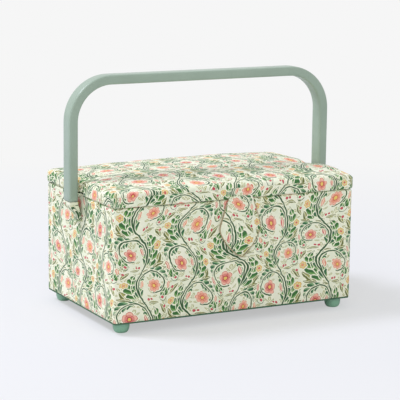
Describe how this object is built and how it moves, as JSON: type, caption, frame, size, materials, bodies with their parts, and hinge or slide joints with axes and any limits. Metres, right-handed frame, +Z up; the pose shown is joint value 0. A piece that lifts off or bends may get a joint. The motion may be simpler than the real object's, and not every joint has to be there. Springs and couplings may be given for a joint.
{
  "type": "sewing box",
  "caption": "Cloth-covered sewing box with a padded hinged lid, front closing tongue, lift-out tray, turned feet and an arched bail handle.",
  "frame": {"origin": "on the ground under the middle of the box, which stands on its four feet", "axes": "+X to the right along the box, -Y to the front where the tongue hangs, +Z up"},
  "size_m": [0.2878, 0.1677, 0.2365],
  "materials": {
    "printed_cloth": "printed cotton, pale green ground with a floral print",
    "lining_cloth": "plain cream lining",
    "lining_card": "cloth-faced card",
    "grey_board": "bare grey board",
    "base_board": "dark green covered board",
    "foot_plastic": "satin moulded",
    "plated_steel": "nickel plated",
    "magnet_steel": "nickel plated magnet",
    "pad_foam": "wadding",
    "cushion_cloth": "plain stuffed cotton",
    "elastic_trim": "covered elastic",
    "tray_plastic": "satin moulded",
    "handle_plastic": "satin moulded sage green"
  },
  "bodies": {
    "box": {"base_board": "base_board", "floor_board": "grey_board", "front_board": "grey_board", "back_board": "grey_board", "left_board": "grey_board", "right_board": "grey_board", "wall_cover": "printed_cloth", "lining": "lining_cloth", "left_ledge": "lining_card", "right_ledge": "lining_card", "foot_front_left": "foot_plastic", "foot_front_right": "foot_plastic", "foot_back_left": "foot_plastic", "foot_back_right": "foot_plastic", "foot_screw_front_left": "plated_steel", "foot_screw_front_right": "plated_steel", "foot_screw_back_left": "plated_steel", "foot_screw_back_right": "plated_steel", "left_washer": "plated_steel", "right_washer": "plated_steel", "left_spacer": "plated_steel", "right_spacer": "plated_steel", "wall_magnet": "magnet_steel", "hinge_cloth_lower": "printed_cloth"},
    "lid": {"lid_board": "grey_board", "lid_rim": "grey_board", "lid_pad": "pad_foam", "lid_cover": "printed_cloth", "lid_lining": "lining_cloth", "pincushion": "cushion_cloth", "lid_pocket": "lining_cloth", "pocket_elastic": "elastic_trim", "hinge_cloth_upper": "printed_cloth"},
    "tongue": {"tongue": "printed_cloth", "tongue_magnet": "magnet_steel"},
    "tray": {"tray": "tray_plastic"},
    "handle": {"handle": "handle_plastic", "left_strap": "printed_cloth", "right_strap": "printed_cloth", "left_rivet": "plated_steel", "right_rivet": "plated_steel"}
  },
  "joints": [
    {"name": "lid_hinge", "type": "hinge", "parent": "box", "child": "lid", "pos_m": [0, 0.0826, 0.12095], "axis": [-1, 0, 0], "range_deg": [0, 92]},
    {"name": "handle_swing", "type": "hinge", "parent": "box", "child": "handle", "pos_m": [0, 0, 0.1025], "axis": [-1, 0, 0], "range_deg": [0, 120]},
    {"name": "tongue_flap", "type": "hinge", "parent": "lid", "child": "tongue", "pos_m": [0, -0.0826, 0.12095], "axis": [-1, 0, 0], "range_deg": [0, 95]},
    {"name": "tray_lift", "type": "slide", "parent": "box", "child": "tray", "axis": [0, 0, 1], "range_m": [0, 0.0045]}
  ],
  "couplings": [
    {"joint": "handle_swing", "follows": "lid_hinge", "ratio": 1.3}
  ]
}
